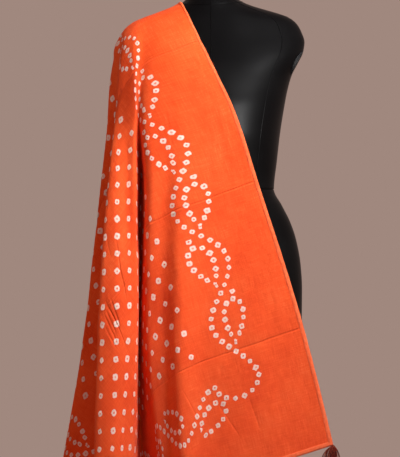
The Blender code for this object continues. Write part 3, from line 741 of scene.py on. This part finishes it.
def nearest_leaf_ring(s, w, first):
    """The same for the leaves, one in each bay of the stem: a loop whose stalk leaves the stem."""
    there, back, length = even_parts(leaf_outline, 5)
    count = round(length / RING_PITCH)
    bay_long = border_wave * 0.5
    bay = ((s - first) / bay_long).math("ROUND")
    side = (bay * pi).math("COSINE")
    off_s = (s - first - bay * bay_long) * choose(by_side, -1.0, 1.0)
    off_s = off_s - choose(by_side, 0.0, HEM_LEAF_LAG)
    off_w = (w - border_middle) * side - choose(by_side, LEAF_SHIFT, HEM_LEAF_SHIFT)
    tilt_cos = choose(by_side, cos(LEAF_TILT), cos(HEM_LEAF_TILT))
    tilt_sin = choose(by_side, sin(LEAF_TILT), sin(HEM_LEAF_TILT))
    x = off_s * tilt_cos - off_w * tilt_sin
    y = off_s * tilt_sin + off_w * tilt_cos
    half_sine = ((x / LEAF_HALF_LENGTH) * -0.5 + 0.5).math("MAXIMUM", 0.02).math("SQRT")
    turn = (y / (half_sine * LEAF_HALF_WIDTH)).math("ARCTAN2", x / LEAF_HALF_LENGTH)
    share = turn / tau
    share = share - share.math("FLOOR")
    number = ((sines(share, there)) * count).math("ROUND")
    ring_turn = sines(number / count, back) * tau
    ring_x = ring_turn.math("COSINE") * LEAF_HALF_LENGTH
    ring_y = ring_turn.math("SINE") * (ring_turn * 0.5).math("SINE") * LEAF_HALF_WIDTH
    loop_x, loop_y = x - ring_x, y - ring_y
    place = (x * -1 - LEAF_HALF_LENGTH) / STALK_PITCH
    place = place.math("ROUND").math("MAXIMUM", 1.0).math("MINIMUM", float(STALK_RINGS))
    stalk_x, stalk_y = x + place * STALK_PITCH + LEAF_HALF_LENGTH, y - (place - 1) * STALK_RISE
    stalk_off, loop_off = stalk_x * stalk_x + stalk_y * stalk_y, loop_x * loop_x + loop_y * loop_y
    on_stalk = stalk_off.math("LESS_THAN", loop_off) * by_side  # the hems' leaves have no stalks
    number = choose(on_stalk, place + 0.1, number) + bay * (count + 1)
    x, y = choose(on_stalk, stalk_x, loop_x), choose(on_stalk, stalk_y, loop_y)
    return x, y, number, bay * bay_long + first


def nearest_corner_ring():
    """The same for the loop that carries the stem round each corner."""
    step = RING_PITCH / np.mean(CORNER_RADII)
    x, y = from_side - CORNER_MIDDLE[0], from_hem - CORNER_MIDDLE[1]
    turn = (y / -CORNER_RADII[1]).math("ARCTAN2", x / -CORNER_RADII[0]) + CORNER_TURN
    number = (turn / step).math("ROUND").math("MAXIMUM", 0.0).math("MINIMUM", float(CORNER_RINGS))
    ring_turn = number * step - CORNER_TURN
    ring_x = ring_turn.math("COSINE") * -CORNER_RADII[0]
    ring_y = ring_turn.math("SINE") * -CORNER_RADII[1]
    return x - ring_x, y - ring_y, number


def nearest_field_ring():
    """The same for the field, a square lattice turned by half a right angle."""
    cell_across = (CLOTH_WIDTH - 2 * FIELD_EDGE) / FIELD_CELLS_ACROSS
    cell_along = (CLOTH_LENGTH - 2 * FIELD_FOOT) / FIELD_CELLS_ALONG
    x, y = (across - FIELD_EDGE) / cell_across, (along - FIELD_FOOT) / cell_along
    one, other = ((x + y) * 0.5).math("ROUND"), ((x - y) * 0.5).math("ROUND")
    ring_x, ring_y = one + other, one - other
    kept = ring_x.math("GREATER_THAN", -0.5) * ring_x.math("LESS_THAN", FIELD_CELLS_ACROSS + 0.5)
    kept = kept * ring_y.math("GREATER_THAN", -0.5) * ring_y.math("LESS_THAN", FIELD_CELLS_ALONG + 0.5)
    return (x - ring_x) * cell_across, (y - ring_y) * cell_along, ring_x + ring_y * 31, kept


by_side = from_side.math("LESS_THAN", from_hem)
border_s = choose(by_side, along, across)
border_w = choose(by_side, from_side, from_hem)
border_first = choose(by_side, SIDE_CREST, HEM_CREST)
border_middle = choose(by_side, STEM_MIDDLE, HEM_MIDDLE)
border_swing = choose(by_side, STEM_SWING, HEM_SWING)
border_wave = choose(by_side, STEM_WAVE, HEM_WAVE)
border_length = choose(by_side, CLOTH_LENGTH, CLOTH_WIDTH)
border_start = choose(by_side, STEM_START, HEM_STEM_START)

stem_x, stem_y, stem_number, stem_s = nearest_stem_ring(border_s, border_w, border_first)
stem_near_end = stem_s.math("MINIMUM", border_length - stem_s)
stem_kept = (stem_near_end - border_start).math("GREATER_THAN", 0.0)
leaf_x, leaf_y, leaf_number, leaf_s = nearest_leaf_ring(border_s, border_w, border_first)
leaf_near_end = leaf_s.math("MINIMUM", border_length - leaf_s)
leaf_kept = (leaf_near_end - choose(by_side, LEAF_START, HEM_LEAF_START)).math("GREATER_THAN", 0.0)
corner_x, corner_y, corner_number = nearest_corner_ring()
corner_kept = from_side.math("LESS_THAN", CORNER_END) * from_hem.math("LESS_THAN", CORNER_END)
field_x, field_y, field_number, field_kept = nearest_field_ring()

# The nearest ring of all: how far off it is, in its own radii, and a number that is its alone.
FAR_OFF = 9.0
ring_off = None
for x, y, number, kept, radius in (
    (field_x, field_y, field_number, field_kept, FIELD_RING),
    (stem_x, stem_y, stem_number + 0.25, stem_kept, BORDER_RING),
    (leaf_x, leaf_y, leaf_number + 0.50, leaf_kept, BORDER_RING),
    (corner_x, corner_y, corner_number + 0.75, corner_kept, BORDER_RING),
):
    x, y = x / radius, y / radius
    off = x * x + y * y + (kept * -1 + 1) * FAR_OFF * FAR_OFF
    if ring_off is None:
        ring_x, ring_y, ring_number, ring_off = x, y, number, off
        continue
    nearer = off.math("LESS_THAN", ring_off)
    ring_x, ring_y = choose(nearer, x, ring_x), choose(nearer, y, ring_y)
    ring_number, ring_off = choose(nearer, number, ring_number), choose(nearer, off, ring_off)

chance = cotton.tree.nodes.new("ShaderNodeTexWhiteNoise")
chance.noise_dimensions = "1D"
cotton.tree.links.new(ring_number.socket, chance.inputs["W"])
chances = cotton.tree.nodes.new("ShaderNodeSeparateColor")
cotton.tree.links.new(chance.outputs["Color"], chances.inputs["Color"])
by_turn, by_size, by_hole = (Reading(cotton.tree, socket) for socket in chances.outputs[:3])

flat = cotton.place(source="UV")
rough_edge = cotton.mottle(flat, 0.0028) - 0.5
turned_by = by_turn * 1.3 + 0.2
ring_cos, ring_sin = turned_by.math("COSINE"), turned_by.math("SINE")
size = by_size * 0.30 + 0.86
square_x = ((ring_x * ring_cos - ring_y * ring_sin) / size).math("ABSOLUTE")
square_y = ((ring_x * ring_sin + ring_y * ring_cos) / size).math("ABSOLUTE")
square_off = square_x.math("POWER", SQUARENESS) + square_y.math("POWER", SQUARENESS)
square_off = square_off.math("POWER", 1 / SQUARENESS)
square_off = square_off + rough_edge * 0.55
near_ring = ring_off.math("LESS_THAN", 4.0)
white = square_off.step(1.08, 0.80) * near_ring
hole = square_off.step(0.46, 0.20) * (by_hole * 0.55 + 0.35)
bleed = square_off.step(1.75, 0.95) * near_ring

# The threads are a little thicker here and there and the dye a little deeper, as in hand-woven cotton.
warp_slub = cotton.mottle(cotton.place((1 / 0.0016, 1 / 0.038, 1), "UV"), 1.0, 3.0, 0.65)
weft_slub = cotton.mottle(cotton.place((1 / 0.038, 1 / 0.0016, 1), "UV"), 1.0, 3.0, 0.65)
slub = (warp_slub + weft_slub) * 0.5
depth_of_dye = cotton.mottle(flat, 0.110, 4.0, 0.6)
dyed = cotton.blend((depth_of_dye * 0.45 + slub * 0.55).step(0.36, 0.54), DYE_DEEP, DYE)
dyed = cotton.blend((slub * 0.7 + depth_of_dye * 0.3).step(0.50, 0.66), dyed, DYE_PALE)
dyed = cotton.blend(bleed * 0.30, dyed, DYE_DEEP)
cotton.colour(white * (hole * -1 + 1), dyed, UNDYED)

# The pressed lines and the tucks are sharper along their middles than the mesh can show.
CREASE_HALF, TUCK_CREASE_HALF, CREASE_SWAY = 0.0032, 0.0034, 0.006
press_share = (along - (PRESS_FIRST - PRESS_STEP / 2)) / PRESS_STEP
press_off = (press_share - press_share.math("FLOOR") - 0.5) * PRESS_STEP
sway = (cotton.mottle(cotton.place((1, 0.2, 1), "UV"), 0.09) - 0.5) * CREASE_SWAY
press = (press_off + sway).math("ABSOLUTE").step(CREASE_HALF, 0.0)
marks = []
for u0, v0, u1, v1, depth in TUCKS:
    length = np.hypot(u1 - u0, v1 - v0)
    run_u, run_v = (u1 - u0) / length, (v1 - v0) / length
    run = ((across - u0) * run_u + (from_hem - v0) * run_v) / length
    off = (across - u0) * run_v - (from_hem - v0) * run_u + sway
    mark = off.math("ABSOLUTE").step(TUCK_CREASE_HALF, 0.0) * run.step(0.0, 0.3) * run.step(1.0, 0.7)
    marks.append(mark * (abs(depth) / TUCK_DEEPEST) ** 2)
creases = press * -1.1 + sum(marks[1:], marks[0]) * -1.9
weave = cotton.wave(flat, 0.00062, "X") + cotton.wave(flat, 0.00066, "Y")
pucker = square_off.step(1.5, 0.2) * near_ring
crumple = cotton.mottle(flat, 0.018, 3.0, 0.55)
crumple = crumple + cotton.mottle(cotton.place((1, 0.35, 1), "UV"), 0.030)
cotton.relief(creases + weave * 0.10 + slub * 0.9 + pucker * 0.45 + crumple * 1.5, 0.0012)

# The drape is a closed shell, with its flat measures in metres as its UV map.
bm = bmesh.new()
bmesh.ops.create_grid(bm, x_segments=ACROSS_CELLS, y_segments=ALONG_CELLS, size=1)
laid = bm.loops.layers.uv.new("flat")
for vert in bm.verts:
    i = round((vert.co.x + 1) / 2 * ACROSS_CELLS)
    j = round((vert.co.y + 1) / 2 * ALONG_CELLS)
    for loop in vert.link_loops:
        loop[laid].uv = (across_lines[i], along_lines[j])
    vert.co = drape[i, j]
draped_nodes = ("stole_front", "stole_shoulder", "stole_back")
stole = new_piece("stole", bm, cotton.material, draped_nodes)
wall = stole.modifiers.new("wall", "SOLIDIFY")
wall.thickness = CLOTH_WALL
wall.offset = 0.0

# All four edges are turned over a narrow hem, paler where the folded cloth took less dye, and held by a
# line of running stitches close to the hem's inner edge.

BAND_SECTION = [  # how far in from the edge, and how far off the cloth's middle, round the hem
    (0.0085, 0.0005), (0.0078, 0.0011), (0.0045, 0.0014), (0.0010, 0.0013), (-0.0009, 0.0),
    (0.0010, -0.0013), (0.0045, -0.0014), (0.0078, -0.0011), (0.0085, -0.0005), (0.0085, 0.0005),
]
BAND_STEP = 0.005
STITCH_IN, STITCH_LONG, STITCH_PITCH, STITCH_THICK = 0.0066, 0.0034, 0.0052, 0.00030
BAND_DYE, BAND_PALE = (0.80, 0.105, 0.024), (0.84, 0.150, 0.050)
THREAD_ORANGE = (0.72, 0.11, 0.03)
STITCH_OFF = 0.0013  # from the cloth's middle to a stitch's, on either face


def perimeter(step):
    """Points about step apart round the flat cloth's edge, beginning at its front inner corner."""
    corners = [(0, 0), (0, CLOTH_LENGTH), (CLOTH_WIDTH, CLOTH_LENGTH), (CLOTH_WIDTH, 0)]
    points = []
    for start, end in zip(corners, corners[1:] + corners[:1]):
        count = round((abs(end[0] - start[0]) + abs(end[1] - start[1])) / step)
        shares = np.linspace(0, 1, count, endpoint=False)[:, None]
        points += list(np.array(start) + shares * (np.array(end) - np.array(start)))
    return points


def inset(point, distance):
    """The flat point at a distance in from an edge point, with the corners mitred."""
    across, along = point
    return (
        np.clip(across, distance, CLOTH_WIDTH - distance),
        np.clip(along, distance, CLOTH_LENGTH - distance),
    )


band_finish = Finish("turned hem", 0.85, Sheen_Weight=0.03, Specular_IOR_Level=0.12)
band_place = band_finish.place()
band_finish.colour(band_finish.mottle(band_place, 0.006, 4.0).step(0.3, 0.7), BAND_DYE, BAND_PALE)
band_finish.relief(band_finish.mottle(band_place, 0.0014, 3.0), 0.0006)

edge = perimeter(BAND_STEP)
edge.append(edge[0])
bm = bmesh.new()
bmesh.ops.create_grid(bm, x_segments=len(BAND_SECTION) - 1, y_segments=len(edge) - 1, size=1)
for vert in bm.verts:
    distance, lifted = BAND_SECTION[round((vert.co.x + 1) / 2 * (len(BAND_SECTION) - 1))]
    point = edge[round((vert.co.y + 1) / 2 * (len(edge) - 1))]
    vert.co = on_cloth(*inset(point, max(distance, 0)), lifted)
    if distance < 0:
        vert.co += (vert.co - on_cloth(*inset(point, 0.006))).normalized() * -distance
bmesh.ops.remove_doubles(bm, verts=bm.verts, dist=1e-6)
bmesh.ops.recalc_face_normals(bm, faces=bm.faces)
hem = new_piece("turned_hem", bm, band_finish.material)


sewn = Finish("orange sewing thread", 0.7, Specular_IOR_Level=0.3)
sewn.colour(sewn.mottle(sewn.place(), 0.02), THREAD_ORANGE, DYE_PALE)
stitches = []
row = [inset(point, STITCH_IN) for point in perimeter(STITCH_PITCH)]
for first, second in zip(row, row[1:]):
    share = STITCH_LONG / STITCH_PITCH
    last = tuple(a + (b - a) * share for a, b in zip(first, second))
    if abs(first[0] - second[0]) + abs(first[1] - second[1]) < STITCH_PITCH * 0.9:
        continue  # at the corners, where the inset edge doubles back
    for off in (STITCH_OFF, -STITCH_OFF):
        stitches.append([on_cloth(*first, off), on_cloth(*last, off)])
hem_stitches = threads("hem_stitches", stitches, STITCH_THICK, sewn.material)


# ---------------------------------------------------------------- the tassels
# One at each corner of the stole: maroon cotton threads bound at the top with a few turns of the same
# thread, springing out at once into a thick brush and hanging from there.

STRANDS, STRAND_THICK, STRAND_POINTS = 62, 0.00055, 8
TASSEL_FROM, TASSEL_LONG, TASSEL_UNEVEN, TASSEL_SHORTER = 0.0026, 0.062, 0.005, 0.004
HEAD_WIDE, TASSEL_WIDE, FLARE_WITHIN = 0.0036, 0.0215, 0.0125  # radii, and how soon it is wide
STRAND_SWAY, STRAND_WAVES, TASSEL_LEAN = 0.10, 22, 0.005  # the last towards -X, off the cloth
EVEN_TURN = 2.39996  # the golden angle, which spreads the strands evenly over the head
BINDING = [  # radius of the bound head, and how far below the corner
    (0.0006, 0.0004), (0.0024, 0.0007), (0.0036, 0.0014), (0.0034, 0.0018), (0.0040, 0.0022),
    (0.0036, 0.0026), (0.0041, 0.0030), (0.0037, 0.0034), (0.0042, 0.0038), (0.0030, 0.0046),
]
MAROON, RUST = (0.150, 0.008, 0.003), (0.420, 0.075, 0.016)
CORNERS = {
    "front_inner": (0, 0),
    "front_outer": (CLOTH_WIDTH, 0),
    "back_inner": (0, CLOTH_LENGTH),
    "back_outer": (CLOTH_WIDTH, CLOTH_LENGTH),
}

maroon_thread = Finish("maroon thread", 0.75, Specular_IOR_Level=0.12)
strand_place = maroon_thread.place((1, 1, 0.08))
maroon_thread.colour(maroon_thread.mottle(strand_place, 0.0011).step(0.52, 0.66), MAROON, RUST)
maroon_thread.relief(maroon_thread.wave(maroon_thread.place(), 0.0006, "Z"), 0.0002)

for corner_name, corner in CORNERS.items():
    top = on_cloth(*corner)
    bm = drum(20, len(BINDING) - 1)
    for vert in bm.verts:
        radius, below = BINDING[round((0.5 - vert.co.z) * (len(BINDING) - 1))]
        vert.co = top + Vector((vert.co.x * radius, vert.co.y * radius, -below))
    bmesh.ops.recalc_face_normals(bm, faces=bm.faces)
    new_piece(f"tassel_{corner_name}_binding", bm, maroon_thread.material,
              (f"tassel_{corner_name}",))
    strands = []
    for number in range(STRANDS):
        turn, share = number * EVEN_TURN, np.sqrt((number + 0.5) / STRANDS)
        seed = Vector((number * 0.71, top.x * 9, top.y * 9))
        length = TASSEL_LONG + TASSEL_UNEVEN * noise.noise(seed) - TASSEL_SHORTER * share
        strand = []
        for down in (length - TASSEL_FROM) * np.linspace(0, 1, STRAND_POINTS) ** 1.5:
            flare = 1 - np.exp(-down / FLARE_WITHIN)
            out = share * (HEAD_WIDE + (TASSEL_WIDE - HEAD_WIDE) * flare)
            wave = down * STRAND_WAVES
            sway_x = down * STRAND_SWAY * noise.noise(seed + Vector((wave, 0, 0)))
            sway_y = down * STRAND_SWAY * noise.noise(seed + Vector((0, wave, 5)))
            strand.append(top + Vector((
                out * cos(turn) + sway_x - TASSEL_LEAN * flare,
                out * sin(turn) + sway_y,
                -down - TASSEL_FROM,
            )))
        strands.append(strand)
    threads(f"tassel_{corner_name}_strands", strands, STRAND_THICK, maroon_thread.material)


# ---------------------------------------------------------------- the floor and the lights
# A pale round floor in a plain taupe surround, which lights everything softly from all round, and
# soft lights in front that give the folds their shade.

FLOOR_PALE, FLOOR_SWEPT = (0.62, 0.55, 0.50), (0.66, 0.59, 0.54)
FLOOR_RADIUS = 7.0
SURROUND = (0.352, 0.246, 0.209)

floor_finish = Finish("pale floor", 0.9)
floor_finish.colour(floor_finish.mottle(floor_finish.place(), 0.6, 3.0), FLOOR_PALE, FLOOR_SWEPT)
bm = bmesh.new()
bmesh.ops.create_circle(bm, cap_ends=True, segments=96, radius=FLOOR_RADIUS)
mesh = bpy.data.meshes.new("floor")
bm.to_mesh(mesh)
bm.free()
mesh.materials.append(floor_finish.material)
floor = placed("floor", mesh)


def softbox(name, place, target, size, watts, spread=180.0, matt=True, gloss=True):
    """A square soft light aimed at a point. A spread under 180 degrees is a honeycomb over its face;
    matt and gloss say which of the two kinds of shading it lights."""
    light = bpy.data.lights.new(name, "AREA")
    light.shape = "SQUARE"
    light.size = size
    light.energy = watts
    light.spread = radians(spread)
    lamp = placed(name, light)
    lamp.location = place
    lamp.rotation_euler = (Vector(target) - Vector(place)).to_track_quat("-Z", "Y").to_euler()
    lamp.visible_diffuse, lamp.visible_glossy = matt, gloss


softbox("key", (1.05, -1.25, 2.55), (0, 0, 1.38), 0.9, 15.6, spread=72.0, gloss=False)
softbox("glint", (1.7, -2.6, 1.1), (0, 0, 1.3), 0.6, 280, matt=False)
softbox("side_fill", (-3.2, -2.4, 1.6), (0, 0, 1.0), 1.6, 12.5)

world = bpy.data.worlds.new("studio")
world.use_nodes = True
world.node_tree.nodes["Background"].inputs["Color"].default_value = (*SURROUND, 1)
bpy.context.scene.world = world
bpy.context.scene.view_settings.view_transform = "Standard"
